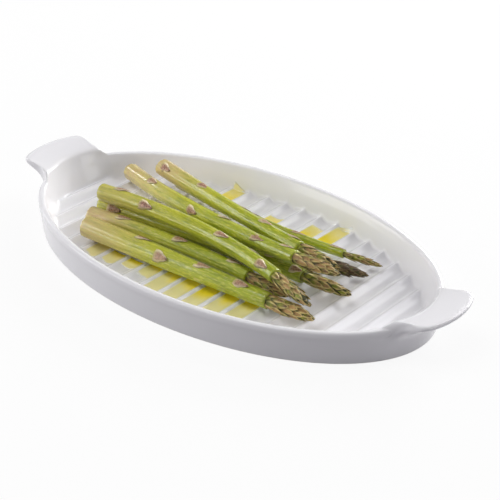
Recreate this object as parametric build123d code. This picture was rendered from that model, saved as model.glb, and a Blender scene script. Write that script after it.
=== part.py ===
from build123d import *
import os
from collections import namedtuple
from math import atan, atan2, cos, degrees, hypot, pi, sin, sqrt

# An oval serving dish of white porcelain with a ribbed floor and two flared lug handles,
# holding eight spears of green asparagus in melted butter. Millimetres, +Z up, +X along the dish,
# origin under the middle of the dish on the surface that it stands on.

# Dish body
rim_length = 300.0
rim_width = 172.0
rim_height = 21.4
rim_wall = 4.4
rim_round = 2.0
base_length = 294.0
base_width = 168.0
base_round = 1.5
floor_wall = 9.0
floor_thickness = 3.7
foot_recess = 1.0
foot_width = 6.0

# Ribs across the floor
rib_pitch = 14.6
rib_depth = 2.3
crest_width = 3.2

# Lug handles, one at each end
handle_reach = 19.2
handle_rise = 8.6
handle_step = 4.2
handle_drop = 4.0
handle_thickness = 4.2
handle_round = 1.6
handle_fold_round = 3.0
handle_neck = 48.0
handle_width = 52.5
handle_root = 58.0
handle_bulge = 7.7
handle_corner_round = 8.0

# Spears of asparagus
scale_thickness = 0.5
scale_clearance = 0.05
scale_length = 10.0
scale_width = 6.5
rest_clearance = 0.3
bract_count = 11
bract_length = 9.0
bract_width = 4.4
bract_lift = 0.9

# Melted butter in the valleys
butter_depth = 1.75
butter_clearance = 0.15
butter_end_round = 4.0

# Each spear: its ends as shares of the floor's half length and half width, its sideways bow, its
# thickness at the butt, the neck and the bud, the bud's length, and its scale leaves as shares of
# the stalk's length with their turn from straight up, positive towards +Y on a spear that points to +X.
Spear = namedtuple("Spear", "name butt tip bow butt_width neck_width bud_width bud_length scales")
spears = [
    Spear("front", (-0.575, -0.61), (0.695, -0.475), -0.6, 15.2, 10.8, 12.0, 33.0,
          [(0.28, 30), (0.42, -55), (0.62, 5), (0.83, -20), (0.95, 60)]),
    Spear("second", (-0.65, -0.43), (0.495, -0.34), 5.8, 12.4, 9.6, 10.4, 33.0,
          [(0.16, 10), (0.52, -5), (0.86, 20)]),
    Spear("middle", (-0.695, -0.23), (0.69, 0.005), 2.9, 12.0, 10.0, 10.4, 36.0,
          [(0.05, -60), (0.82, 20), (0.95, -30)]),
    Spear("hidden", (-0.325, 0.24), (0.65, 0.33), -6.0, 10.0, 8.8, 10.4, 30.0,
          [(0.9, -75), (0.5, 75)]),
    Spear("back", (-0.59, 0.56), (0.64, 0.545), -6.4, 8.0, 6.4, 8.4, 28.0,
          [(0.45, 40), (0.72, 10), (0.93, 20)]),
    Spear("top_front", (-0.65, -0.27), (0.7, -0.54), 13.3, 12.0, 9.8, 10.4, 38.0,
          [(0.06, 20), (0.2, -50), (0.62, -5), (0.8, 60), (0.9, -35)]),
    Spear("top_middle", (-0.83, 0.395), (0.69, -0.15), -8.3, 12.4, 9.6, 12.0, 36.0,
          [(0.16, -20), (0.45, -60), (0.6, 35), (0.8, -25), (0.93, 30)]),
    Spear("top_back", (-0.685, 0.53), (0.62, 0.02), -2.8, 12.4, 9.2, 11.2, 36.0,
          [(0.03, -45), (0.3, 0), (0.58, 60), (0.74, 15), (0.92, 35)]),
]

# Butter pools, each as the valley that it lies in, counted from the middle of the dish, and the
# shares of the floor's half width between which it reaches.
Pool = namedtuple("Pool", "valley start end")
near_pools = [Pool(-5, -0.78, -0.55), Pool(-4, -0.77, -0.6), Pool(-3, -0.72, -0.6), Pool(-2, -0.75, -0.5),
              Pool(-1, -0.88, -0.48), Pool(0, -0.9, -0.46), Pool(1, -0.88, -0.44), Pool(2, -0.86, -0.42),
              Pool(3, -0.78, -0.42)]
far_pools = [Pool(-4, 0.66, 0.97), Pool(-1, 0.58, 0.76), Pool(1, 0.58, 0.85), Pool(2, 0.6, 1.0)]

# Sizes that follow from those above
rim_half = (rim_length / 2, rim_width / 2)
base_half = (base_length / 2, base_width / 2)
valley_height = foot_recess + floor_thickness
crest_height = valley_height + rib_depth
crest_share = crest_height / rim_height
floor_half = tuple(base + (rim - base) * crest_share - floor_wall for base, rim in zip(base_half, rim_half))
mouth_half = tuple(rim - rim_wall for rim in rim_half)
above_dish = rim_height + 3 * handle_rise
handle_edge = rim_half[0] + handle_reach
spear_gap = scale_clearance + scale_thickness + rest_clearance

# Rib profile: valley arcs and crest arcs that meet tangentially
rib_slope = 2 * atan(2 * rib_depth / rib_pitch)
crest_radius = crest_width / 2 / sin(rib_slope)
valley_radius = (rib_pitch - crest_width) / 2 / sin(rib_slope)
seam_height = crest_height - crest_radius * (1 - cos(rib_slope))


def oval(half, height):
    """An ellipse with the given half axes, lying at a height."""
    return Pos(0, 0, height) * Ellipse(half[0], half[1])


def inset(half, amount):
    """Half axes drawn in by the same amount all round."""
    return (half[0] - amount, half[1] - amount)


def ribbed_space():
    """The space above the ribs, as long and wide as the dish and open upwards."""
    count = int(rim_half[0] / rib_pitch) + 1
    half_crest = crest_width / 2
    edges = []
    for k in range(-count, count):
        crest = k * rib_pitch
        start = crest + half_crest
        end = crest + rib_pitch - half_crest
        edges.append(ThreePointArc((crest - half_crest, seam_height), (crest, crest_height), (start, seam_height)))
        edges.append(ThreePointArc((start, seam_height), ((start + end) / 2, valley_height), (end, seam_height)))
    left = -count * rib_pitch - half_crest
    right = count * rib_pitch - half_crest
    edges.append(Polyline((right, seam_height), (right, above_dish), (left, above_dish), (left, seam_height)))
    face = Plane.XZ * make_face(edges)
    return extrude(face, amount=rim_width, both=True)


def hollow(clearance=0.0):
    """The inside of the dish, up through its mouth: a wall that leans out and sweeps into the floor."""
    above = above_dish - rim_height
    lean = tuple((mouth - floor) / (rim_height - crest_height) for mouth, floor in zip(mouth_half, floor_half))
    sections = [
        (inset(floor_half, rib_depth * 2), valley_height - rib_depth / 2),
        (floor_half, crest_height),
        (mouth_half, rim_height),
        (tuple(mouth + slope * above for mouth, slope in zip(mouth_half, lean)), above_dish),
    ]
    return loft([oval(inset(half, clearance), height) for half, height in sections])


def handle(inside):
    """A lug: the end wall runs on up past the rim and folds out into a ledge with a bowed edge and drawn-in sides."""
    end_radius = rim_half[1] ** 2 / rim_half[0]
    turn_centre = rim_half[0] - end_radius
    inner = mouth_half[0] - rim_wall
    past = handle_edge + handle_bulge
    slope = (handle_rise - handle_step) / (handle_edge - mouth_half[0])
    under_slope = (handle_rise - handle_thickness + handle_drop) / handle_reach
    top = rim_height + handle_rise
    under = top - handle_thickness
    profile = Polyline(
        (inner, 0, top - slope * (handle_edge - inner)),
        (past, 0, top + slope * handle_bulge),
        (past, 0, under + under_slope * handle_bulge),
        (inner, 0, under - under_slope * (handle_edge - inner)),
        close=True,
    )
    half_turn = 60
    flare = revolve(make_face(profile), Axis((turn_centre, 0, 0), (0, 0, 1)), 2 * half_turn)
    flare = Pos(turn_centre, 0, 0) * (Rot(0, 0, -half_turn) * (Pos(-turn_centre, 0, 0) * flare))
    corner_x = handle_edge - handle_bulge
    root_x = rim_half[0] * sqrt(1 - (handle_neck / rim_width) ** 2)
    back_x = root_x - rim_wall
    sides = []
    for hand in (1, -1):
        corner = (corner_x, hand * handle_width / 2)
        neck = ((corner_x + root_x) / 2, hand * handle_neck / 2)
        root = (back_x, hand * handle_root / 2)
        sides.append(ThreePointArc(corner, neck, root))
    edge = ThreePointArc(sides[0] @ 0, (handle_edge, 0), sides[1] @ 0)
    plan = make_face([*sides, edge, Line(sides[0] @ 1, sides[1] @ 1)])
    plan = fillet(plan.vertices().sort_by(Axis.X)[-2:], handle_corner_round)
    lug = (flare & extrude(plan, above_dish)) - inside
    across = lug.edges().filter_by(lambda e: abs(e.center().Y) < rim_round and e.center().X < rim_half[0])
    lug = fillet(across.sort_by(Axis.Z)[-1], handle_fold_round)
    outline = [e for e in lug.edges() if e.center().X > root_x and abs((e % 0.5).Z) < 0.5]
    return fillet(outline, handle_round)


def dish():
    """One fired piece: body, ribs, foot ring and both handles."""
    body = loft([oval(base_half, 0), oval(rim_half, rim_height)])
    body = fillet(body.edges().sort_by(Axis.Z)[0], base_round)
    inside = hollow()
    body -= inside & ribbed_space()
    body = fillet(body.edges().group_by(Axis.Z)[-1], rim_round)
    recess = inset(base_half, base_round + foot_width)
    body -= extrude(oval(recess, 0), foot_recess)
    lug = handle(inside)
    return body + lug + lug.mirror(Plane.YZ)


def plan_point(spear, share):
    """A point of the spear's centre line, seen from above."""
    start = [place * half for place, half in zip(spear.butt, floor_half)]
    end = [place * half for place, half in zip(spear.tip, floor_half)]
    run = (end[0] - start[0], end[1] - start[1])
    length = hypot(*run)
    side = 4 * spear.bow * share * (1 - share) / length
    return (start[0] + run[0] * share - run[1] * side, start[1] + run[1] * share + run[0] * side)


def plan_length(spear):
    """Straight distance from butt to tip, seen from above."""
    start = plan_point(spear, 0)
    end = plan_point(spear, 1)
    return hypot(end[0] - start[0], end[1] - start[1])


def bud_radius(spear, share):
    """Radius of the bud's outside at a share of its length: it swells from the neck, then closes to a point."""
    widest = 0.35
    neck = spear.neck_width / 2
    bud = spear.bud_width / 2
    if share < widest:
        return neck + (bud - neck) * sin(share / widest * pi / 2)
    closing = (share - widest) / (1 - widest)
    return bud * sqrt(max(0, 1 - closing ** 1.6))


def radius(spear, share):
    """Radius of the whole spear at a share of its length."""
    neck_share = 1 - spear.bud_length / plan_length(spear)
    if share > neck_share:
        return bud_radius(spear, (share - neck_share) / (1 - neck_share))
    butt = spear.butt_width / 2
    return butt + (spear.neck_width / 2 - butt) * share / neck_share


steps = 40
shares = [step / steps for step in range(steps + 1)]
balance = 0.42


def laid_heights(pile):
    """Heights of each spear's butt and tip when the spears are laid in order on the ribs and on each other.

    A spear rests on two points, one on each side of its balance point, and touches nothing else.
    """
    laid = []
    heights = {}
    for spear in pile:
        places = [(*plan_point(spear, share), radius(spear, share)) for share in shares]
        floors = []
        for x, y, r in places:
            floor = crest_height + r + spear_gap
            for low_x, low_y, low_z, low_r in laid:
                reach = r + low_r + spear_gap
                apart = (x - low_x) ** 2 + (y - low_y) ** 2
                if apart < reach ** 2:
                    floor = max(floor, low_z + sqrt(reach ** 2 - apart))
            floors.append(floor)
        best = None
        for a, low in zip(shares, floors):
            for b, high in zip(shares, floors):
                if a <= balance < b:
                    rise = (high - low) / (b - a)
                    middle = low + rise * (balance - a)
                    if best is None or middle > best[0]:
                        best = (middle, low - rise * a, low + rise * (1 - a))
        butt_z, tip_z = best[1:]
        heights[spear.name] = (butt_z, tip_z)
        laid += [(x, y, butt_z + (tip_z - butt_z) * share, r) for share, (x, y, r) in zip(shares, places)]
    return heights


heights = laid_heights(spears)


def point(spear, share):
    """A point of the spear's centre line."""
    butt_z, tip_z = heights[spear.name]
    return Vector(*plan_point(spear, share), butt_z + (tip_z - butt_z) * share)


def section_plane(spear, share, ahead):
    """The plane across the spear at a share of its length, with its X axis level and its Y axis upwards."""
    along = (point(spear, ahead) - point(spear, share)).normalized()
    level = Vector(0, 0, 1).cross(along)
    return Plane(point(spear, share), x_dir=level, z_dir=along)


def stalk_sections(spear, proud=0.0):
    """Circles along the stalk, standing proud of its surface by a distance."""
    neck_share = 1 - spear.bud_length / plan_length(spear)
    count = 4
    circles = []
    for k in range(count + 1):
        share = neck_share * k / count
        ahead = 1 if k == count else share + neck_share / steps
        circles.append(section_plane(spear, share, ahead) * Circle(radius(spear, share) + proud))
    return circles


def stalk(spear):
    """A tapered, slightly bowed stalk, cut square at the butt."""
    return loft(stalk_sections(spear))


def bud(spear):
    """The closed tip of the spear: a core with pointed bracts set round it in a spiral."""
    neck_share = 1 - spear.bud_length / plan_length(spear)
    length = (point(spear, 1) - point(spear, neck_share)).length
    plane = section_plane(spear, neck_share, 1)
    golden_turn = 137.5
    core_share = (spear.bud_width / 2 - bract_lift) / (spear.bud_width / 2)
    rings = [0, 0.15, 0.35, 0.6, 0.8, 0.93]
    outline = [(spear.neck_width / 2, 0)]
    outline += [(bud_radius(spear, share) * core_share, share * length) for share in rings[1:]]
    curve = Spline(*outline, (0, length))
    side = Polyline((0, length), (0, 0), outline[0])
    core = revolve(Plane.XZ * make_face([curve, side]), Axis.Z)
    bracts = []
    last_bract = 1 - bract_length / length
    for k in range(bract_count):
        share = last_bract * (k + 0.5) / bract_count
        base = bud_radius(spear, share) * core_share - bract_width / 2
        end_share = share + bract_length / length
        end = bud_radius(spear, end_share) * core_share + bract_lift / 2
        lean = degrees(atan2(end - base, bract_length))
        cone = Cone(bract_width / 2, bract_lift / 4, bract_length, align=(Align.CENTER, Align.CENTER, Align.MIN))
        placed = Pos(base, 0, share * length) * Rot(0, lean, 0) * cone
        bracts.append(Rot(0, 0, golden_turn * k) * placed)
    return plane.location * core.fuse(*bracts)


def scales(spear):
    """Thin pointed scale leaves that lie against the stalk."""
    inner = loft(stalk_sections(spear, scale_clearance))
    outer = loft(stalk_sections(spear, scale_clearance + scale_thickness))
    skin = outer - inner
    neck_share = 1 - spear.bud_length / plan_length(spear)
    leaves = []
    for place, turn in spear.scales:
        share = neck_share * place
        plane = section_plane(spear, share, share + neck_share / steps)
        leaf = Polyline((-scale_width / 2, 0), (scale_width / 2, 0), (0, scale_length), close=True)
        prism = extrude(Plane.XZ * make_face(leaf), -(radius(spear, share) + 4 * scale_thickness))
        leaves.append(skin & (plane.location * (Rot(0, 0, -turn) * prism)))
    return leaves


def butter(pools):
    """Shallow pools with rounded ends, each lying in one valley between two ribs."""
    solids = []
    top = valley_height + butter_depth
    bed_radius = valley_radius - butter_clearance
    centre_height = valley_height + valley_radius
    half_width = sqrt(bed_radius ** 2 - (centre_height - top) ** 2)
    bed = centre_height - bed_radius
    room = hollow(butter_clearance)
    for pool in pools:
        middle = (pool.valley + 0.5) * rib_pitch
        start = pool.start * floor_half[1]
        length = (pool.end - pool.start) * floor_half[1]
        arc = ThreePointArc((-half_width, top), (0, bed), (half_width, top))
        segment = make_face([arc, Line((half_width, top), (-half_width, top))])
        block = extrude(Plane.XZ * segment, -length)
        plan = RectangleRounded(2 * half_width + butter_depth, length, butter_end_round)
        block = block & (Pos(0, length / 2, 0) * extrude(plan, above_dish))
        solids.append(Pos(middle, start, 0) * block & room)
    return solids


def save(name, shape):
    """Writes one node, as one solid or as a group of separate solids."""
    if isinstance(shape, list):
        shape = Compound(children=[solid for piece in shape for solid in piece.solids()])
    export_step(shape, f"parts/{name}.step")


os.makedirs("parts", exist_ok=True)
save("dish", dish())
save("butter_near", butter(near_pools))
save("butter_far", butter(far_pools))
for spear in spears:
    save(f"{spear.name}_stalk", stalk(spear))
    save(f"{spear.name}_bud", bud(spear))
    save(f"{spear.name}_scales", scales(spear))
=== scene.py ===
from collections import namedtuple
from math import atan, cos, pi, radians, sin

import bmesh
import bpy
import numpy as np
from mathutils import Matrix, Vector


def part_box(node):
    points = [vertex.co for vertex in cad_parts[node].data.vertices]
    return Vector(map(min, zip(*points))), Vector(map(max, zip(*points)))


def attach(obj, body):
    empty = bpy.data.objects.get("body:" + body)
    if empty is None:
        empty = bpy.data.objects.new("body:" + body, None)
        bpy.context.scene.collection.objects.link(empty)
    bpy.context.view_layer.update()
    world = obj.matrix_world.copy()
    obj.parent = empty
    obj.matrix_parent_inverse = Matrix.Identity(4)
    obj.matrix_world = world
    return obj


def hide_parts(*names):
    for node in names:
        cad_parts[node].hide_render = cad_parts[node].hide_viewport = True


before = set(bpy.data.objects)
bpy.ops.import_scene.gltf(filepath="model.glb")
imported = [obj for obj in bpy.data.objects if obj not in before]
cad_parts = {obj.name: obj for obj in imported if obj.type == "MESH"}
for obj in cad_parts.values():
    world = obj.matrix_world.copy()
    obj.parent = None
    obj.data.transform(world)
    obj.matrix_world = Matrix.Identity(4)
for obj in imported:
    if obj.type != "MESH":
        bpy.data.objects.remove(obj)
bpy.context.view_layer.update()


# The dish is one piece of white porcelain, cast with its ribs, its foot ring and two flared lugs.
# It is glazed all over, but for the foot ring that it stands on in the kiln. Sizes in millimetres.
MM = 0.001
dish_low, dish_high = (np.array(corner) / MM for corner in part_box("dish"))
rim_height = 21.4
rim_half_length = 149.7
rim_thickness = 4.2
floor_inset = (10.8, 10.1)
base_inset = (2.4, 1.6)
rim_half = np.array([rim_half_length, (dish_high[1] - dish_low[1]) / 2])
mouth_half = rim_half - rim_thickness
floor_half = rim_half - floor_inset
base_half = rim_half - base_inset
rib_pitch = 14.6
rib_depth = 2.3
crest_width = 2.6
crest_height = 7.0
recess_height = 1.0


def rib_height(x):
    """Height of the ribbed floor: valley arcs and crest arcs that meet tangentially."""
    slope = 2 * atan(2 * rib_depth / rib_pitch)
    crest_radius = crest_width / 2 / sin(slope)
    valley_radius = (rib_pitch - crest_width) / 2 / sin(slope)
    from_crest = np.abs((x + rib_pitch / 2) % rib_pitch - rib_pitch / 2)
    from_valley = rib_pitch / 2 - from_crest
    on_crest = crest_height - crest_radius + np.sqrt(np.maximum(crest_radius ** 2 - from_crest ** 2, 0))
    in_valley = crest_height - rib_depth + valley_radius - np.sqrt(valley_radius ** 2 - from_valley ** 2)
    return np.where(from_crest < crest_width / 2, on_crest, in_valley)


def wall_height(x, y):
    """Height of the leaning inner wall over a point, carried on below the floor inside it."""
    at_floor = np.hypot(x / floor_half[0], y / floor_half[1])
    at_mouth = np.hypot(x / mouth_half[0], y / mouth_half[1])
    rise = (at_floor - 1) / np.maximum(at_floor - at_mouth, 1e-6)
    return crest_height + (rim_height - crest_height) * rise


def inner_height(x, y):
    """The ribs and the wall with a soft fillet between them, as the glaze leaves it."""
    fillet = 0.7
    lift_on_floor = fillet ** 2 / 60
    ribs = rib_height(x)
    wall = wall_height(x, y)
    return (ribs + wall + np.sqrt((ribs - wall) ** 2 + fillet ** 2)) / 2 - lift_on_floor


def ellipse(half, angle, height):
    """Points of an ellipse at a height."""
    flat = np.ones_like(angle)
    return np.stack([half[0] * np.cos(angle), half[1] * np.sin(angle), height * flat], -1)


def bspline(controls, per_span):
    """Rows of a clamped cubic B-spline over an array whose second axis is the control points."""
    padded = np.pad(controls, ((0, 0), (2, 2), (0, 0)), "edge")
    rows = []
    for span in range(padded.shape[1] - 3):
        for step in range(per_span):
            t = step / per_span
            weights = ((1 - t) ** 3, 3 * t ** 3 - 6 * t ** 2 + 4,
                       -3 * t ** 3 + 3 * t ** 2 + 3 * t + 1, t ** 3)
            rows.append(sum(w / 6 * padded[:, span + k] for k, w in enumerate(weights)))
    rows.append(controls[:, -1])
    return np.stack(rows, 1)


def lug_outline(angle_reach):
    """Plan of one lug at +X: bowed outer edge, drawn-in sides, and the rim on both sides of it."""
    drawn_in_by_rounding = 0.35
    root_rounding = 0.5
    corner_rounding = 4.0
    bow = 7.2
    reach = dish_high[0] + drawn_in_by_rounding
    corner = np.array([reach - bow, 26.8])
    neck = np.array([151.0, 24.0])
    root = np.array([142.4, 26.6])
    edge_radius = (corner[1] ** 2 + bow ** 2) / (2 * bow)
    swing = np.linspace(0, np.arcsin(corner[1] / edge_radius), 40)
    edge = np.stack([reach - edge_radius * (1 - np.cos(swing)), edge_radius * np.sin(swing)], -1)
    t = np.linspace(0, 1, 40)[:, None]
    control = 2 * neck - (corner + root) / 2
    side = (1 - t) ** 2 * corner + 2 * t * (1 - t) * control + t ** 2 * root
    rim = ellipse(rim_half, np.linspace(np.arcsin(root[1] / rim_half[1]) + 0.03, angle_reach, 30), 0)[:, :2]
    half = np.concatenate([edge[:-1], side[:-1], rim])
    path = np.concatenate([half[:0:-1] * (1, -1), half])
    run = np.concatenate([[0], np.cumsum(np.hypot(*np.diff(path, axis=0).T))])
    even = np.linspace(0, run[-1], 601)
    even_path = np.stack([np.interp(even, run, path[:, k]) for k in range(2)], -1)
    spread = 60
    window = np.arange(-spread, spread + 1) * (even[1] - even[0])
    rounded = []
    for rounding in (root_rounding, corner_rounding):
        kernel = np.exp(-(window / rounding) ** 2 / 2)
        kernel /= kernel.sum()
        padded = np.pad(even_path, ((spread, spread), (0, 0)), "edge")
        rounded.append(np.stack([np.convolve(padded[:, k], kernel, "valid") for k in range(2)], -1))
    outer = np.clip((even_path[:, :1] - neck[0]) / 6, 0, 1)
    return even / run[-1], rounded[0] + (rounded[1] - rounded[0]) * outer


def dish_rings():
    """Angles of the ring points, closer where the ends turn, and lined up with the ribs between."""
    field_half = floor_half + (mouth_half - floor_half) * 0.6
    offsets = np.array([0, 0.45, 0.9, 1.4, 2.1, 3.0, 4.2, 5.7, 7.3])
    crests = np.arange(-10, 11)[:, None] * rib_pitch
    xs = np.unique(np.round(np.concatenate([crests + offsets, crests - offsets]), 3))
    xs = xs[np.abs(xs) < 0.9 * field_half[0]]
    end = np.linspace(0, np.arccos(xs[-1] / field_half[0]), 75)[:-1]
    upper = np.concatenate([end, np.arccos(xs[::-1] / field_half[0]), pi - end[::-1]])
    return np.concatenate([upper, -upper[-2:0:-1]]), field_half


def dish_sections(angles, field_half):
    """Control points of every section, from the inner wall over the rim or lug to the foot recess."""
    edge = ellipse(rim_half, angles, rim_height)
    mouth = ellipse(mouth_half, angles, rim_height)
    lug_angle = 0.52
    shares, outline = lug_outline(lug_angle)
    for hand in (1, -1):
        turn = np.arctan2(np.sin(angles), hand * np.cos(angles))
        near = np.abs(turn) < lug_angle
        place = (turn[near] / lug_angle + 1) / 2
        edge[near, 0] = hand * np.interp(place, shares, outline[:, 0])
        edge[near, 1] = np.interp(place, shares, outline[:, 1])
    reach = np.hypot(*(edge - mouth)[:, :2].T)
    plain_reach = 4.25
    beyond = np.maximum(reach - plain_reach, 0)
    lug_run = (142.6, 145, 148, 152, 157, 163, 169)
    lug_rise = np.array([0, 2.4, 4.7, 6.8, 8.3, 9.2, 9.4])
    lug_top = np.interp(np.abs(edge[:, 0]), lug_run, rim_height + lug_rise)
    lug_thickness = 4.2
    fold_rise = np.minimum(0.7 * (lug_top - rim_height), 4.4)
    fold_run = 2.6

    def stands_out(run):
        """0 on the plain rim and 1 where the lug reaches past it by a run, eased between."""
        share = np.clip(beyond / run, 0, 1)
        return share ** 2 * (3 - 2 * share)

    flare = stands_out(1.8)
    under = stands_out(12.0)

    def across(share, height):
        point = mouth + (edge - mouth) * np.asarray(share)[..., None]
        point[:, 2] = height
        return point

    def ledge(share):
        return rim_height + fold_rise + (lug_top - rim_height - fold_rise) * share

    def wall(share):
        return ellipse(floor_half + (mouth_half - floor_half) * share, angles,
                       crest_height + (rim_height - crest_height) * share)

    def outside(height):
        return ellipse(base_half + (rim_half - base_half) * height / rim_height, angles, height)

    def mix(plain, lug, share=flare):
        return plain + (lug - plain) * share[:, None]

    one = np.ones_like(reach)
    lug_wall = ellipse(rim_half + 0.4, angles, rim_height - 6.0)
    controls = [
        wall(0.6),
        wall(0.75),
        mix(wall(0.9), wall(1.0)),
        mix(across(0.04 * one, rim_height - 0.3),
            across(0.4 * fold_run / reach, rim_height + 0.7 * fold_rise)),
        mix(across(0.33 * one, rim_height + 0.03), across(fold_run / reach, ledge(0.1) + 0.1)),
        mix(across(0.67 * one, rim_height + 0.03), across(0.6 * one, ledge(0.6))),
        mix(across(0.96 * one, rim_height - 0.5), across(1 - 1.0 / reach, lug_top)),
        mix(across(1.004 * one, rim_height - 2.2), across(1 + 0.2 / reach, lug_top - lug_thickness / 2)),
        mix(across(1.0 * one, rim_height - 4.0), across(1 - 1.3 / reach, lug_top - lug_thickness)),
        mix(outside(rim_height - 5.5), across(0.62 * one, lug_top - lug_thickness - 3.2), under),
        mix(outside(rim_height - 8.5), lug_wall, under),
        outside(11.0),
        outside(7.5),
        outside(3.0),
    ]
    foot = [(1.2, 0.05), (0.1, 0.0), (0.0, -1.2), (0.0, -4.5), (0.0, -8.2), (0.3, -9.2),
            (recess_height, -9.8), (recess_height, -13.0)]
    controls += [ellipse(base_half + out, angles, height) for height, out in foot]
    controls[0][:, 2] = inner_height(*(field_half * np.stack([np.cos(angles), np.sin(angles)], -1)).T)
    return np.stack(controls, 1)


def fill(ring, points, shares, height):
    """Closes a ring of mirrored points with a grid of rows across it."""
    half = len(ring) // 2
    grid = np.zeros((half + 1, len(shares)), int)
    for k in range(half + 1):
        low, high = ring[-k], ring[k]
        grid[k] = low
        grid[k, -1] = high
        if 0 < k < half:
            for j, share in enumerate(shares[1:-1], 1):
                x, y = (points[low] + (points[high] - points[low]) * share)[:2]
                grid[k, j] = len(points)
                points.append(np.array([x, y, height(x, y)]))
    return quads(grid)


def quads(grid):
    """Faces of a grid of point numbers, with repeated corners dropped."""
    faces = []
    for a, b in zip(grid[:-1], grid[1:]):
        for corners in zip(a[:-1], a[1:], b[1:], b[:-1]):
            face = list(dict.fromkeys(int(c) for c in corners))
            if len(face) > 2:
                faces.append(face)
    return faces


def give(mesh, name, values):
    """Stores a value, or a vector, for each point of a mesh."""
    values = np.asarray(values, np.float32)
    kind, key = ("FLOAT_VECTOR", "vector") if values.ndim == 2 else ("FLOAT", "value")
    mesh.attributes.new(name, kind, "POINT").data.foreach_set(key, values.ravel())


def make_piece(name, points, faces, material, **values):
    """A smooth mesh object from points in millimetres: doubles merged, faces outwards, values stored."""
    mesh = bpy.data.meshes.new(name)
    mesh.from_pydata([tuple(p * MM) for p in points], [], faces)
    for label, numbers in values.items():
        give(mesh, label, numbers)
    shell = bmesh.new()
    shell.from_mesh(mesh)
    bmesh.ops.remove_doubles(shell, verts=shell.verts, dist=1e-7)
    bmesh.ops.recalc_face_normals(shell, faces=shell.faces)
    shell.to_mesh(mesh)
    shell.free()
    mesh.shade_smooth()
    if material:
        mesh.materials.append(material)
    piece = bpy.data.objects.new(name, mesh)
    bpy.context.scene.collection.objects.link(piece)
    return piece


def dish_mesh():
    """Points and faces of the dish."""
    angles, field_half = dish_rings()
    sections = bspline(dish_sections(angles, field_half), 3)
    count, rows = sections.shape[:2]
    points = [p for row in range(rows) for p in sections[:, row]]
    around = np.arange(rows)[:, None] * count + np.append(np.arange(count), 0)
    faces = quads(around)
    near = np.array([0, 0.008, 0.016, 0.024, 0.032, 0.042, 0.053, 0.066, 0.08, 0.1, 0.125, 0.16,
                     0.21, 0.28, 0.37, 0.48, 0.6, 0.75, 1.0]) / 2
    shares = np.concatenate([near, 1 - near[-2::-1]])
    faces += fill(around[0, :-1], points, shares, lambda x, y: float(inner_height(x, y)))
    faces += fill(around[-1, :-1], points, np.linspace(0, 1, 7), lambda x, y: recess_height)
    return points, faces


class Tone:
    """A socket of a material's nodes. Arithmetic on it adds Math nodes."""

    def __init__(self, tree, socket):
        self.tree = tree
        self.socket = socket

    def node(self, kind, settings=(), sockets=(), out=0):
        """Adds a node, sets it up, fills its sockets with values or links, and gives one output."""
        made = self.tree.nodes.new("ShaderNode" + kind)
        for name, setting in dict(settings).items():
            setattr(made, name, setting)
        for key, value in dict(sockets).items():
            if isinstance(value, Tone):
                self.tree.links.new(value.socket, made.inputs[key])
            else:
                made.inputs[key].default_value = value
        return Tone(self.tree, made.outputs[out])

    def stored(self, name, out=2):
        """A value stored for each point of the mesh."""
        return self.node("Attribute", {"attribute_name": name}, out=out)

    def noise(self, place, scale, detail):
        """Soft noise over a place."""
        return self.node("TexNoise", sockets={"Vector": place, "Scale": scale, "Detail": detail})

    def math(self, operation, *values):
        return self.node("Math", {"operation": operation}, dict(enumerate(values)))

    def __add__(self, other):
        return self.math("ADD", self, other)

    __radd__ = __add__

    def __sub__(self, other):
        return self.math("SUBTRACT", self, other)

    def __rsub__(self, other):
        return self.math("SUBTRACT", other, self)

    def __mul__(self, other):
        return self.math("MULTIPLY", self, other)

    def step(self, low, high):
        """0 below low and 1 above high, eased between."""
        return self.node("MapRange", {"interpolation_type": "SMOOTHSTEP"}, {0: self, 1: low, 2: high})

    def blend(self, low, high):
        """A colour between two, by this share."""
        colours = [c if isinstance(c, Tone) else (*c, 1) for c in (low, high)]
        return self.node("Mix", {"data_type": "RGBA"}, {0: self, 6: colours[0], 7: colours[1]}, 2)


def new_finish(name):
    """A material's shader node and a first socket to build from."""
    material = bpy.data.materials.new(name)
    material.use_nodes = True
    shader = material.node_tree.nodes["Principled BSDF"]
    return material, shader, Tone(material.node_tree, shader.outputs[0])


def feed(shader, **sockets):
    """Sets the shader's sockets, named with underscores, to values or links."""
    for name, value in sockets.items():
        socket = shader.inputs[name.replace("_", " ")]
        if isinstance(value, Tone):
            value.tree.links.new(value.socket, socket)
        else:
            socket.default_value = value


def porcelain_finish():
    """White glaze, a little cooler where it pools low down, over a bare foot ring."""
    material, shader, tone = new_finish("porcelain_glaze")
    place = tone.node("TexCoord", out=3)
    height = tone.node("SeparateXYZ", sockets={0: place}, out=2)
    cloud = tone.noise(place, 26.0, 3.0)
    speck = tone.noise(place, 900.0, 2.0)
    bare = 1 - height.step(0.0003, 0.0009)
    pooled = 1 - height.step(0.0045, 0.012)
    glaze = (pooled * 0.5 + cloud * 0.3).blend((0.91, 0.90, 0.925), (0.89, 0.885, 0.915))
    colour = bare.blend(glaze, (0.72, 0.69, 0.64))
    wave = tone.node("Bump", sockets={"Strength": 0.12, "Distance": 0.0006, "Height": cloud + speck * bare})
    feed(shader, Base_Color=colour, Roughness=0.2 + cloud * 0.1 + bare * 0.4, Normal=wave,
         Coat_Weight=0.4 - bare * 0.4, Coat_Roughness=0.04, Specular_IOR_Level=0.2)
    return material


dish = make_piece("dish_porcelain", *dish_mesh(), porcelain_finish())
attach(dish, "dish")
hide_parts("dish")


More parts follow.
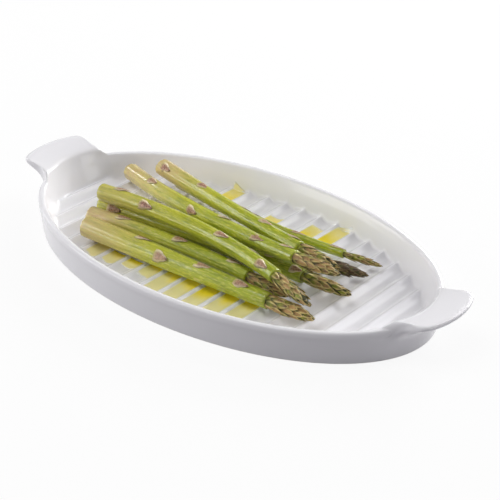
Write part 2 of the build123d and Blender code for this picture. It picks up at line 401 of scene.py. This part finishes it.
# Melted butter lies in the valleys between the ribs: deep yellow where it has gathered under the spears,
# thinning to a pale film that shows the white porcelain through it. Each pool lies where the frame has it.
def islands(node):
    """The separate solids of a node, each as an array of its points in millimetres."""
    shell = bmesh.new()
    shell.from_mesh(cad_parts[node].data)
    bmesh.ops.remove_doubles(shell, verts=shell.verts, dist=1e-6)
    left = set(shell.verts)
    groups = []
    while left:
        group = set()
        edge = [left.pop()]
        while edge:
            vert = edge.pop()
            group.add(vert)
            linked = [e.other_vert(vert) for e in vert.link_edges]
            edge += [other for other in linked if other in left]
            left.difference_update(linked)
        groups.append(np.array([v.co for v in group]) / MM)
    shell.free()
    return groups


def sheet(grids):
    """Faces of a closed sheet: its two sides and the border between them."""
    border = [np.concatenate([g[0], g[1:, -1], g[-1, -2::-1], g[-2::-1, 0]]) for g in grids]
    return quads(grids[0]) + quads(grids[1]) + quads(np.stack(border))


def butter_pools(node, wall_side, seed):
    """Pools that fill their valleys from rib to rib, deep at the spears' end and thin at the wall's end."""
    random = np.random.default_rng(seed)
    points, faces, depths = [], [], []
    columns = 21
    row_length = 0.6
    onto_ribs = 0.3
    thin_border = 0.16
    for solid in islands(node):
        low, high = solid.min(0), solid.max(0)
        middle = (low[0] + high[0]) / 2
        half = (high[0] - low[0]) / 2 + onto_ribs
        ends = (high[1], low[1]) if wall_side < 0 else (low[1], high[1])
        rows = int((high[1] - low[1]) / row_length)
        wander = random.uniform(0, 2 * pi, 4)
        thick_end = random.uniform(0.2, 0.4)
        rich = np.clip((middle + 100) / 80, 0.15, 1) if wall_side < 0 else 0.85
        shallow = 0.3 if wall_side < 0 else 0.6
        grids = np.zeros((2, rows + 1, columns), int)
        for k in range(rows + 1):
            along = k / rows
            y = ends[0] + (ends[1] - ends[0]) * along
            for j in range(columns):
                across = 2 * j / (columns - 1) - 1
                x = middle + half * across
                bed = float(inner_height(x, y))
                ragged = (along + 0.05 * np.sin(2.2 * across + wander[0])
                          + 0.02 * np.sin(5 * across + wander[1]))
                deep = np.clip((thick_end + 0.35 - ragged) / 0.5, 0, 1) * rich
                film = (np.clip((1.0 - ragged) / thin_border, 0, 1)
                        * np.clip((1 - abs(across)) / thin_border, 0, 1) ** 0.7)
                depth = film * (shallow + (1 - shallow) * deep ** 2 * (3 - 2 * deep))
                pool = max(high[2] - bed, 0) * depth
                for layer, height in enumerate((bed + 0.01, bed + 0.03 + 0.8 * pool)):
                    grids[layer, k, j] = len(points)
                    points.append(np.array([x, y, height]))
                    depths.append(depth * layer)
        faces += sheet(grids)
    return points, faces, np.array(depths)


def butter_finish():
    """Clear yellow fat: deep colour where it is thick, the porcelain's white where it is thin."""
    material, shader, tone = new_finish("melted_butter")
    depth = tone.stored("depth")
    place = tone.node("TexCoord", out=3)
    cloud = tone.noise(place, 240.0, 4.0)
    uneven = depth + (cloud - 0.5) * 0.25
    colour = uneven.step(0.0, 0.22).blend((0.91, 0.91, 0.91), (0.98, 0.90, 0.44))
    colour = uneven.step(0.25, 0.95).blend(colour, (0.97, 0.78, 0.03))
    wave = tone.node("Bump", sockets={"Strength": 0.2, "Distance": 0.0004, "Height": cloud})
    feed(shader, Base_Color=colour, Roughness=0.18 + cloud * 0.12, Normal=wave, IOR=1.46, Coat_Weight=0.3,
         Coat_Roughness=0.06)
    return material


butter_skin = butter_finish()
for node, wall_side, seed in (("butter_near", -1, 4), ("butter_far", 1, 9)):
    pool_points, pool_faces, pool_depths = butter_pools(node, wall_side, seed)
    pools = make_piece(f"{node}_pools", pool_points, pool_faces, butter_skin, depth=pool_depths)
    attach(pools, "dish")
    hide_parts(node)


# The spears of green asparagus are blanched and cut square at the butt. Each stalk is a tapering round
# stem, streaked along its length, pale and rosy at the butt and greener towards its head.
Looks = namedtuple("Looks", "name blush dark green")
spear_looks = [
    Looks("front", 0.7, 0.2, 0.45),
    Looks("second", 0.9, 0.4, 0.5),
    Looks("middle", 0.1, 0.3, 0.85),
    Looks("hidden", 0.2, 1.0, 0.15),
    Looks("back", 0.2, 0.6, 0.8),
    Looks("top_front", 0.3, 0.3, 0.6),
    Looks("top_middle", 0.8, 0.35, 0.35),
    Looks("top_back", 0.85, 0.35, 0.5),
]


def node_points(node):
    return np.array([v.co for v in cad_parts[node].data.vertices]) / MM


def cut(node, origin, along):
    """Centre and radius of a node's outline where a plane cuts across it."""
    points = node_points(node)
    ends = np.array([e.vertices[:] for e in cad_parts[node].data.edges])
    side = (points - origin) @ along
    ends = ends[side[ends[:, 0]] * side[ends[:, 1]] < 0]
    share = side[ends[:, 0]] / (side[ends[:, 0]] - side[ends[:, 1]])
    hits = points[ends[:, 0]] + share[:, None] * (points[ends[:, 1]] - points[ends[:, 0]])
    centre = (hits.min(0) + hits.max(0)) / 2
    return centre, np.linalg.norm(hits - centre, axis=1).mean()


class Spear:
    """A spear's centre line and thickness, read from its solids in the frame."""

    swelling = 0.35

    def __init__(self, name):
        stalk = node_points(f"{name}_stalk")
        bud = node_points(f"{name}_bud")
        chord = bud.mean(0) - stalk.mean(0)
        chord /= np.linalg.norm(chord)
        run = stalk @ chord
        origin = stalk.mean(0) - chord * (stalk.mean(0) @ chord)
        places = np.linspace(0.03, 0.97, 9)
        starts = [origin + chord * (run.min() + np.ptp(run) * place) for place in places]
        cuts = [cut(f"{name}_stalk", start, chord) for start in starts]
        self.line = [np.polyfit(places, [centre[k] for centre, radius in cuts], 2) for k in range(3)]
        self.taper = np.polyfit(places, [radius for centre, radius in cuts], 1)
        self.neck = self.point(1.0)
        self.tip = bud[np.argmax((bud - self.neck) @ chord)]
        self.bud_length = float(np.linalg.norm(self.tip - self.neck))
        self.bud_axis = (self.tip - self.neck) / self.bud_length
        self.length = float(np.linalg.norm(self.neck - self.point(0.0)))
        self.neck_radius = float(np.polyval(self.taper, 1.0))
        widest = self.neck + self.bud_axis * self.swelling * self.bud_length
        centre, radius = cut(f"{name}_bud", widest, self.bud_axis)
        self.bud_radius = max(float(radius), self.neck_radius * 1.02)

    def point(self, share):
        return np.array([np.polyval(k, share) for k in self.line])

    def axes(self, share):
        """Along the stalk, level across it, and upwards, at a share of its length."""
        along = self.point(share + 0.01) - self.point(share - 0.01)
        along /= np.linalg.norm(along)
        level = np.cross((0, 0, 1), along)
        level /= np.linalg.norm(level)
        return along, level, np.cross(along, level)

    def radius(self, share):
        return float(np.polyval(self.taper, share))

    def bud_axes(self):
        """Level across the bud, and upwards."""
        level = np.cross((0, 0, 1), self.bud_axis)
        level /= np.linalg.norm(level)
        return level, np.cross(self.bud_axis, level)

    def bud_profile(self, share):
        """Radius of the bud at a share of its length: swelling from the neck, then closing to the tip."""
        if share < self.swelling:
            ease = np.sin(pi / 2 * max(share, 0) / self.swelling)
            return self.neck_radius + (self.bud_radius - self.neck_radius) * ease
        closing = (share - self.swelling) / (1 - self.swelling)
        return self.bud_radius * (1 - closing ** 2.5) ** 0.55


def scale_places(name, spear):
    """Share of the stalk's length, turn from straight up and length of each scale leaf."""
    places = []
    for leaf in islands(f"{name}_scales"):
        axis = spear.neck - spear.point(0.0)
        run = (leaf - spear.point(0.0)) @ axis / spear.length ** 2
        share = float(run.min())
        along, level, up = spear.axes(share)
        out = leaf.mean(0) - spear.point(float(run.mean()))
        places.append((share, float(np.arctan2(out @ level, out @ up)), float(np.ptp(run)) * spear.length))
    return places


def stalk_mesh(spear, leaves, seed):
    """A ribbed, slightly knobbly stem with a rounded, sunken cut at the butt."""
    random = np.random.default_rng(seed)
    around = 72
    row_length = 1.2
    skin_inset = 0.3
    knot_length = 3.5
    rows = int(spear.length / row_length)
    waves = ((0.10, 9, 2), (0.07, 14, -3), (0.16, 2, 7), (0.1, 3, -11))
    phases = random.uniform(0, 2 * pi, len(waves))
    turn = np.arange(around) / around * 2 * pi
    points, straight, along_share = [], [], []
    grid = np.zeros((rows + 5, around + 1), int)

    def ring(row, share, size, sink=0.0):
        along, level, up = spear.axes(share)
        ripple = sum(depth * np.cos(count * turn + phase + twist * share)
                     for (depth, count, twist), phase in zip(waves, phases))
        knots = sum(0.1 * np.exp(-((share - s) * spear.length / knot_length) ** 2)
                    * np.exp(2.5 * (np.cos(turn - t) - 1)) for s, t, reach in leaves)
        radius = (spear.radius(share) - skin_inset + ripple * spear.radius(share) / 6 + knots) * size
        offset = np.sin(turn)[:, None] * level + np.cos(turn)[:, None] * up
        for j in range(around):
            grid[row, j] = len(points)
            points.append(spear.point(share) + offset[j] * radius[j] + along * sink)
            flat = radius[j] * np.array([np.sin(turn[j]), np.cos(turn[j])])
            straight.append((*flat, share * spear.length))
            along_share.append(share)
        grid[row, around] = grid[row, 0]

    butt_round = [(0.3, 0.5), (0.84, 0.25), (0.96, 0.05)]
    for row, (size, sink) in enumerate(butt_round):
        ring(row, 0.0, size, sink)
    for row in range(rows + 1):
        ring(row + 3, 0.004 + 0.996 * row / rows, 1.0)
    ring(rows + 4, 1.0, 0.3)
    faces = quads(grid)
    faces += [[int(k) for k in grid[0, :-1]], [int(k) for k in grid[-1, :-1]]]
    return points, faces, {"straight": np.array(straight) * MM, "along": along_share}


def stalk_finish(looks):
    """Moist green skin with fine lengthwise streaks, paler and rosy towards the butt."""
    material, shader, tone = new_finish(f"{looks.name}_skin")
    straight = tone.stored("straight", 1)
    along = tone.stored("along")

    def streaks(fine, stretch, detail):
        drawn = tone.node("Mapping", sockets={"Vector": straight, "Scale": (1, 1, stretch)})
        return tone.noise(drawn, fine, detail)

    fine = streaks(1300.0, 0.16, 4.0)
    broad = streaks(420.0, 0.14, 4.0)
    dash = streaks(1000.0, 0.5, 3.0)
    mottle = streaks(160.0, 0.5, 3.0)
    ripe = (along + (mottle - 0.5) * 0.7).step(0.1, 0.9)
    blush = (1 - (along + (broad - 0.5) * 0.3).step(0.0, 0.42)) * looks.blush
    green = ripe.blend((0.54, 0.54, 0.03), (0.36, 0.43, 0.008))
    green = (broad.step(0.42, 0.7) * 0.6).blend(green, (0.16, 0.22, 0.004))
    green = (fine.step(0.48, 0.66) * 0.5).blend(green, (0.76, 0.73, 0.10))
    rosy = fine.step(0.4, 0.65).blend((0.72, 0.57, 0.26), (0.64, 0.42, 0.25))
    skin = blush.blend(green, rosy)
    skin = (mottle.step(0.52, 0.7) * dash.step(0.4, 0.6) * 0.45).blend(skin, (0.72, 0.64, 0.28))
    height = fine * 0.7 + broad + dash * 0.7
    relief = tone.node("Bump", sockets={"Strength": 0.6, "Distance": 0.0005, "Height": height})
    feed(shader, Base_Color=skin, Roughness=0.3 + fine * 0.25, Normal=relief, Coat_Roughness=0.1,
         Coat_Weight=0.3 + dash.step(0.45, 0.6) * 0.7)
    return material


spears = {looks.name: Spear(looks.name) for looks in spear_looks}
leaf_places = {name: scale_places(name, spear) for name, spear in spears.items()}
for number, looks in enumerate(spear_looks):
    spear = spears[looks.name]
    stem_points, stem_faces, stem_values = stalk_mesh(spear, leaf_places[looks.name], 100 + number)
    stem = make_piece(f"{looks.name}_stem", stem_points, stem_faces, stalk_finish(looks), **stem_values)
    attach(stem, f"{looks.name}_spear")
    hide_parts(f"{looks.name}_stalk")


# Each bud is the spear's closed head: small cupped bracts that overlap in a spiral round a soft core,
# green and purple-brown with thin pale edges. The bracts are one layer of instances.
def leaf_tree():
    """Geometry Nodes: one leaf on every point, turned by its axes, sized, loosened and realized."""
    tree = bpy.data.node_groups.new("leaf_layer", "GeometryNodeTree")
    tree.is_modifier = True
    inputs = {"Points": "Geometry", "Leaf": "Object", "Core": "Object", "Seed": "Int", "Loose": "Float",
              "Finish": "Material"}
    for label, kind in inputs.items():
        tree.interface.new_socket(label, in_out="INPUT", socket_type="NodeSocket" + kind)
    tree.interface.new_socket("Layer", in_out="OUTPUT", socket_type="NodeSocketGeometry")

    def add(kind, settings=(), sockets=(), out=0):
        made = tree.nodes.new(kind)
        for name, setting in dict(settings).items():
            setattr(made, name, setting)
        for key, value in dict(sockets).items():
            if isinstance(value, bpy.types.NodeSocket):
                tree.links.new(value, made.inputs[key])
            else:
                made.inputs[key].default_value = value
        return made.outputs[out] if len(made.outputs) else made

    def stored(name):
        return add("GeometryNodeInputNamedAttribute", {"data_type": "FLOAT_VECTOR"}, {"Name": name})

    given = add("NodeGroupInput").node.outputs
    laid = add("FunctionNodeAxesToRotation", {"primary_axis": "Z", "secondary_axis": "Y"},
               {"Primary Axis": stored("out"), "Secondary Axis": stored("along")})
    chance = add("FunctionNodeRandomValue", {"data_type": "FLOAT_VECTOR"},
                 {0: (-1, -1, -1), 1: (1, 1, 1), "Seed": given["Seed"]})
    tilt = add("ShaderNodeVectorMath", {"operation": "SCALE"}, {0: chance, "Scale": given["Loose"]})
    turned = add("FunctionNodeRotateRotation", {"rotation_space": "LOCAL"},
                 {0: laid, 1: add("FunctionNodeEulerToRotation", sockets={0: tilt})})
    leaf = add("GeometryNodeObjectInfo", sockets={"Object": given["Leaf"]}, out=4)
    layer = add("GeometryNodeInstanceOnPoints", sockets={
        "Points": given["Points"], "Instance": leaf, "Rotation": turned, "Scale": stored("size")})
    tone = add("FunctionNodeRandomValue", {"data_type": "FLOAT"},
               {2: 0.0, 3: 1.0, "Seed": given["Seed"]}, 1)
    toned = add("GeometryNodeStoreNamedAttribute", {"data_type": "FLOAT", "domain": "INSTANCE"},
                {"Geometry": layer, "Name": "tone", "Value": tone})
    realized = add("GeometryNodeRealizeInstances", sockets={0: toned})
    core = add("GeometryNodeObjectInfo", sockets={"Object": given["Core"]}, out=4)
    joined = add("GeometryNodeJoinGeometry", sockets={0: realized})
    tree.links.new(core, joined.node.inputs[0])
    finished = add("GeometryNodeSetMaterial", sockets={"Geometry": joined, "Material": given["Finish"]})
    add("NodeGroupOutput", sockets={0: finished})
    return tree


def leaf_shape(name, spread, profile, bulge, lift):
    """A cupped leaf, wrapped round a unit cylinder along Y, closed, with its edge and tip stored."""
    rows, columns = 6, 5
    points, edges, tips = [], [], []
    grids = np.zeros((2, rows, columns), int)
    for layer in range(2):
        for i in range(rows):
            t = i / (rows - 1)
            for j in range(columns):
                u = 2 * j / (columns - 1) - 1
                turn = u * spread * profile(t)
                cup = (1 - u ** 2) * np.sin(pi * min(t * 1.15 + 0.08, 1))
                swell = bulge * cup if layer else -0.5 * bulge * (1 - u ** 2) * (1 - t)
                radius = 1 + lift * t ** 2 + swell
                grids[layer, i, j] = len(points)
                points.append(np.array([np.sin(turn) * radius, t, np.cos(turn) * radius]) / MM)
                edges.append(abs(u))
                tips.append(t)
    return make_piece(name, points, sheet(grids), None, edge=edges, tip=tips)


def leaf_layer(name, places, leaf, core, seed, loose, finish):
    """Lays leaves at places (point, out, along, size) with the node tree, as one plain mesh object."""
    mesh = bpy.data.meshes.new(name)
    mesh.from_pydata([tuple(p[0] * MM) for p in places], [], [])
    give(mesh, "out", [p[1] for p in places])
    give(mesh, "along", [p[2] for p in places])
    give(mesh, "size", [p[3] * MM for p in places])
    layer = bpy.data.objects.new(name, mesh)
    bpy.context.scene.collection.objects.link(layer)
    modifier = layer.modifiers.new("layer", "NODES")
    modifier.node_group = leaf_nodes
    values = {"Leaf": leaf, "Core": core, "Seed": seed, "Loose": loose, "Finish": finish}
    for socket in leaf_nodes.interface.items_tree:
        if socket.name in values:
            modifier[socket.identifier] = values[socket.name]
    made = bpy.data.meshes.new_from_object(layer.evaluated_get(bpy.context.evaluated_depsgraph_get()))
    layer.modifiers.remove(modifier)
    layer.data = made
    made.shade_smooth()
    return layer


def bud_core(name, spear):
    """The soft middle of a bud, a little inside the bracts, with painted shade: near-black but for a green
    neck.
    """
    around, rows = 28, 26
    core_end = 0.985
    core_inset = 1.5
    level, up = spear.bud_axes()
    turn = np.arange(around) / around * 2 * pi
    points = []
    for row in range(rows + 1):
        share = row / rows * core_end
        radius = max(spear.bud_profile(share) - core_inset, 0.1)
        centre = spear.neck + spear.bud_axis * spear.bud_length * share
        points += [centre + radius * (np.sin(t) * level + np.cos(t) * up) for t in turn]
    grid = np.arange(rows + 1)[:, None] * around + np.append(np.arange(around), 0)
    faces = quads(grid) + [[int(k) for k in grid[0, :-1]], [int(k) for k in grid[-1, :-1]]]
    shares = np.repeat(np.arange(rows + 1) / rows, around)
    # Low tip values give the core the bracts' painted shade, near-black, rising near the neck so that it
    # shows green there.
    tips = 0.1 + 0.4 * np.clip(1 - shares / 0.2, 0, 1)
    return make_piece(f"{name}_core", points, faces, None, tip=tips)


def bract_outline(t):
    """Half width of a bract along its length: broadest below the middle, and closing at the tip."""
    return np.sin(pi * (0.3 + 0.7 * t)) ** 0.7


def bract_places(spear, count, seed):
    """Bracts in a golden-angle spiral from the neck to the tip, each leaning along the bud's side."""
    random = np.random.default_rng(seed)
    level, up = spear.bud_axes()
    foot_sunk = 2.0
    tip_sunk = 0.8
    last_tip = 0.97
    golden = pi * (3 - 5 ** 0.5)
    first = random.uniform(0, 2 * pi)
    places = []
    for k in range(count):
        share = -0.14 + 0.95 * (k / (count - 1)) ** 0.95
        length = 0.4 - 0.15 * k / count
        turn = first + k * golden + random.uniform(-0.15, 0.15)
        out = np.sin(turn) * level + np.cos(turn) * up
        ends = [spear.neck + spear.bud_axis * spear.bud_length * s + out * (spear.bud_profile(s) - sunk)
                for s, sunk in ((share, foot_sunk), (min(share + length, last_tip), tip_sunk))]
        reach = ends[1] - ends[0]
        along = reach / np.linalg.norm(reach)
        normal = out - along * (out @ along)
        normal /= np.linalg.norm(normal)
        radius = 0.85 * max(spear.bud_profile(share + length / 2) - 0.4, 0.6) * random.uniform(0.92, 1.04)
        size = np.array([radius, np.linalg.norm(reach) * random.uniform(0.95, 1.08), radius])
        places.append((ends[0] - normal * radius, normal, along, size))
    return places


def bud_finish(looks):
    """Purple-brown bracts with thin pale edges, greener towards the foot, and painted shade, near-black, in
    the gaps at each foot.
    """
    material, shader, tone = new_finish(f"{looks.name}_bracts")
    edge, tip, leaf = (tone.stored(name) for name in ("edge", "tip", "tone"))
    place = tone.node("TexCoord", out=3)
    cloud = tone.noise(place, 420.0, 4.0)
    veins = tone.noise(place, 1600.0, 3.0)
    fresh = 1 - looks.dark
    brown = (0.05 + 0.08 * fresh, 0.025 + 0.045 * fresh, 0.01 + 0.012 * fresh)
    pink = (0.14 + 0.42 * fresh, 0.08 + 0.25 * fresh, 0.03 + 0.08 * fresh)
    dusky = (veins * 0.6 + leaf * 0.4).step(0.35, 0.65).blend(brown, pink)
    green = cloud.step(0.35, 0.7).blend((0.16, 0.19, 0.008), (0.44, 0.45, 0.03))
    ripe = (tip + (leaf - 0.5) * 0.8 + (cloud - 0.5) * 0.5 - looks.green * 0.6 + 0.15).step(0.0, 0.5)
    colour = ripe.blend(green, dusky)
    lined = edge.step(0.3, 0.65) * tip.step(0.2, 0.5)
    colour = (lined * (0.12 + 0.88 * fresh)).blend(colour, (0.82, 0.67, 0.26))
    # Painted shade: the lowest part of each bract, and most of the core, turn near-black as the shadow in
    # the gaps.
    colour = ((1 - tip.step(0.15, 0.55)) * 0.92).blend(colour, (0.035, 0.032, 0.007))
    relief = tone.node("Bump", sockets={"Strength": 0.6, "Distance": 0.0006, "Height": veins + cloud * 2.0})
    feed(shader, Base_Color=colour, Roughness=0.5 + veins * 0.2, Normal=relief, Coat_Weight=cloud * 0.25,
         Coat_Roughness=0.1)
    return material


leaf_nodes = leaf_tree()
bract_count = 38
bract = leaf_shape("bract", 0.6, bract_outline, 0.14, 0.08)
for number, looks in enumerate(spear_looks):
    spear = spears[looks.name]
    core = bud_core(looks.name, spear)
    places = bract_places(spear, bract_count, 200 + number)
    bud = leaf_layer(f"{looks.name}_bracts", places, bract, core, 300 + number, 0.06, bud_finish(looks))
    bpy.data.objects.remove(core)
    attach(bud, f"{looks.name}_spear")
    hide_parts(f"{looks.name}_bud")
bpy.data.objects.remove(bract)


# Scale leaves are thin papery triangles that hug the stalk and point to the bud, purple-brown with a pale,
# dry edge. They are the same layer of instances with a leaf of their own.
def scale_finish():
    """Papery purple-brown with fine veins, a pale edge and a greenish foot."""
    material, shader, tone = new_finish("scale_leaf_skin")
    edge, tip, leaf = (tone.stored(name) for name in ("edge", "tip", "tone"))
    place = tone.node("TexCoord", out=3)
    veins = tone.noise(place, 900.0, 4.0)
    colour = veins.step(0.4, 0.62).blend((0.22, 0.09, 0.055), (0.52, 0.29, 0.19))
    colour = (leaf * 0.35).blend(colour, (0.55, 0.41, 0.21))
    colour = (edge.step(0.35, 0.8) * 0.85).blend(colour, (0.84, 0.73, 0.46))
    colour = ((1 - tip.step(0.0, 0.25)) * 0.6).blend(colour, (0.60, 0.56, 0.20))
    relief = tone.node("Bump", sockets={"Strength": 0.3, "Distance": 0.0003, "Height": veins})
    feed(shader, Base_Color=colour, Roughness=0.42 + veins * 0.2, Normal=relief,
         Coat_Weight=0.1 + veins * 0.2, Coat_Roughness=0.2)
    return material


def scale_outline(t):
    """Half width of a scale leaf along its length: a triangle with a drawn-in foot and wavy sides."""
    return (1 - t) ** 0.8 * (1 - 0.25 * (1 - t) ** 8) * (1 + 0.12 * np.sin(17 * t))


def laid_scales(spear, leaves):
    """Scale leaves at their places on the stalk."""
    leaf_inset = 0.1
    places = []
    for share, turn, reach in leaves:
        along, level, up = spear.axes(share + reach / spear.length / 2)
        out = np.sin(turn) * level + np.cos(turn) * up
        radius = spear.radius(share) - leaf_inset
        places.append((spear.point(share), out, along, np.array([radius, reach * 1.15, radius])))
    return places


scale_skin = scale_finish()
scale = leaf_shape("scale", 0.85, scale_outline, 0.07, 0.03)
for number, looks in enumerate(spear_looks):
    spear = spears[looks.name]
    places = laid_scales(spear, leaf_places[looks.name])
    leaves = leaf_layer(f"{looks.name}_scale_leaves", places, scale, None, 400 + number, 0.03, scale_skin)
    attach(leaves, f"{looks.name}_spear")
    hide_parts(f"{looks.name}_scales")
bpy.data.objects.remove(scale)


# The floor is a plain white matt sheet that the dish stands on. It shows white to the camera, with only
# the dish's soft shadow on it.
def floor_finish():
    """White with a soft shadow where it is seen, and a matt grey for the light that it throws back."""
    material, shader, tone = new_finish("white_sheet")
    feed(shader, Base_Color=(0.40, 0.39, 0.42, 1), Roughness=0.9)
    rays = tone.node("LightPath").socket.node.outputs
    kinds = ("Is Camera Ray", "Is Glossy Ray", "Is Transmission Ray")
    camera_ray, glossy_ray, clear_ray = (Tone(tone.tree, rays[kind]) for kind in kinds)
    seen = tone.math("MAXIMUM", tone.math("MAXIMUM", camera_ray, glossy_ray), clear_ray)
    white = tone.node("BsdfDiffuse", sockets={"Color": (0.9, 0.9, 0.9, 1)})
    glow = tone.node("Emission", sockets={"Color": (1, 1, 1, 1), "Strength": 1.0})
    shown = tone.node("MixShader", sockets={0: 0.9, 1: white, 2: glow})
    mixed = tone.node("MixShader", sockets={0: seen, 1: tone, 2: shown})
    tone.tree.links.new(mixed.socket, tone.tree.nodes["Material Output"].inputs["Surface"])
    return material


floor_half_size = 3000.0
floor_height = -0.05
floor_corners = [np.array([x * floor_half_size, y * floor_half_size, floor_height])
                 for x, y in ((-1, -1), (1, -1), (1, 1), (-1, 1))]
floor = make_piece("floor_sheet", floor_corners, [(0, 1, 2, 3)], floor_finish())


# Light: low soft boxes round the dish, the strongest one behind it, two panels higher up, and a dim room.
# The camera itself sees a backdrop as white as the far floor.
def soft_box(name, place, size, power):
    light = bpy.data.lights.new(name, "AREA")
    light.shape = "RECTANGLE"
    light.size, light.size_y = size
    light.energy = power
    lamp = bpy.data.objects.new(name, light)
    lamp.location = place
    lamp.rotation_euler = (-Vector(place)).to_track_quat("-Z", "Y").to_euler()
    bpy.context.scene.collection.objects.link(lamp)


soft_box("back_panel", (0.0, 1.60, 0.56), (1.4, 0.6), 25.5)
soft_box("high_panel", (0.20, 1.20, 1.20), (0.9, 0.6), 6.0)
soft_box("top_panel", (-0.29, -0.50, 1.60), (1.2, 0.8), 10.5)
soft_box("left_panel", (-1.25, -1.02, 0.53), (1.2, 0.8), 12.5)
soft_box("right_panel", (1.58, 0.14, 0.40), (0.7, 0.5), 4.0)
soft_box("far_card", (-1.50, 0.20, 0.72), (0.3, 0.3), 2.5)

world = bpy.data.worlds.new("room")
bpy.context.scene.world = world
world.use_nodes = True
room = world.node_tree.nodes["Background"]
sky = Tone(world.node_tree, room.outputs[0])
room.inputs["Color"].default_value = (0.97, 0.945, 1.0, 1)
room.inputs["Strength"].default_value = 0.08
backdrop = sky.node("Background", sockets={"Color": (1, 1, 1, 1), "Strength": 0.91})
lit = sky.node("MixShader", sockets={0: sky.node("LightPath"), 1: sky, 2: backdrop})
world.node_tree.links.new(lit.socket, world.node_tree.nodes["World Output"].inputs["Surface"])


# The camera stands at the photograph's viewing angle, with the distance, lens and shift that bring the rim,
# the base and the handles of the dish to their places in the photograph.
camera_azimuth = radians(41.16)
camera_elevation = radians(29.96)
camera_distance = 0.87227
photo_width = 500
focal_pixels = 1379.02
shift_pixels = (20.56, 11.19)
sensor = 36.0
back = Vector((sin(camera_azimuth) * cos(camera_elevation), -cos(camera_azimuth) * cos(camera_elevation),
               sin(camera_elevation)))
lens = bpy.data.cameras.new("camera")
lens.sensor_width = sensor
lens.lens = focal_pixels / photo_width * sensor
lens.shift_x = shift_pixels[0] / photo_width
lens.shift_y = shift_pixels[1] / photo_width
camera = bpy.data.objects.new("camera", lens)
camera.location = back * camera_distance
camera.rotation_euler = (-back).to_track_quat("-Z", "Y").to_euler()
bpy.context.scene.collection.objects.link(camera)
bpy.context.scene.camera = camera
bpy.context.scene.view_settings.view_transform = "Standard"
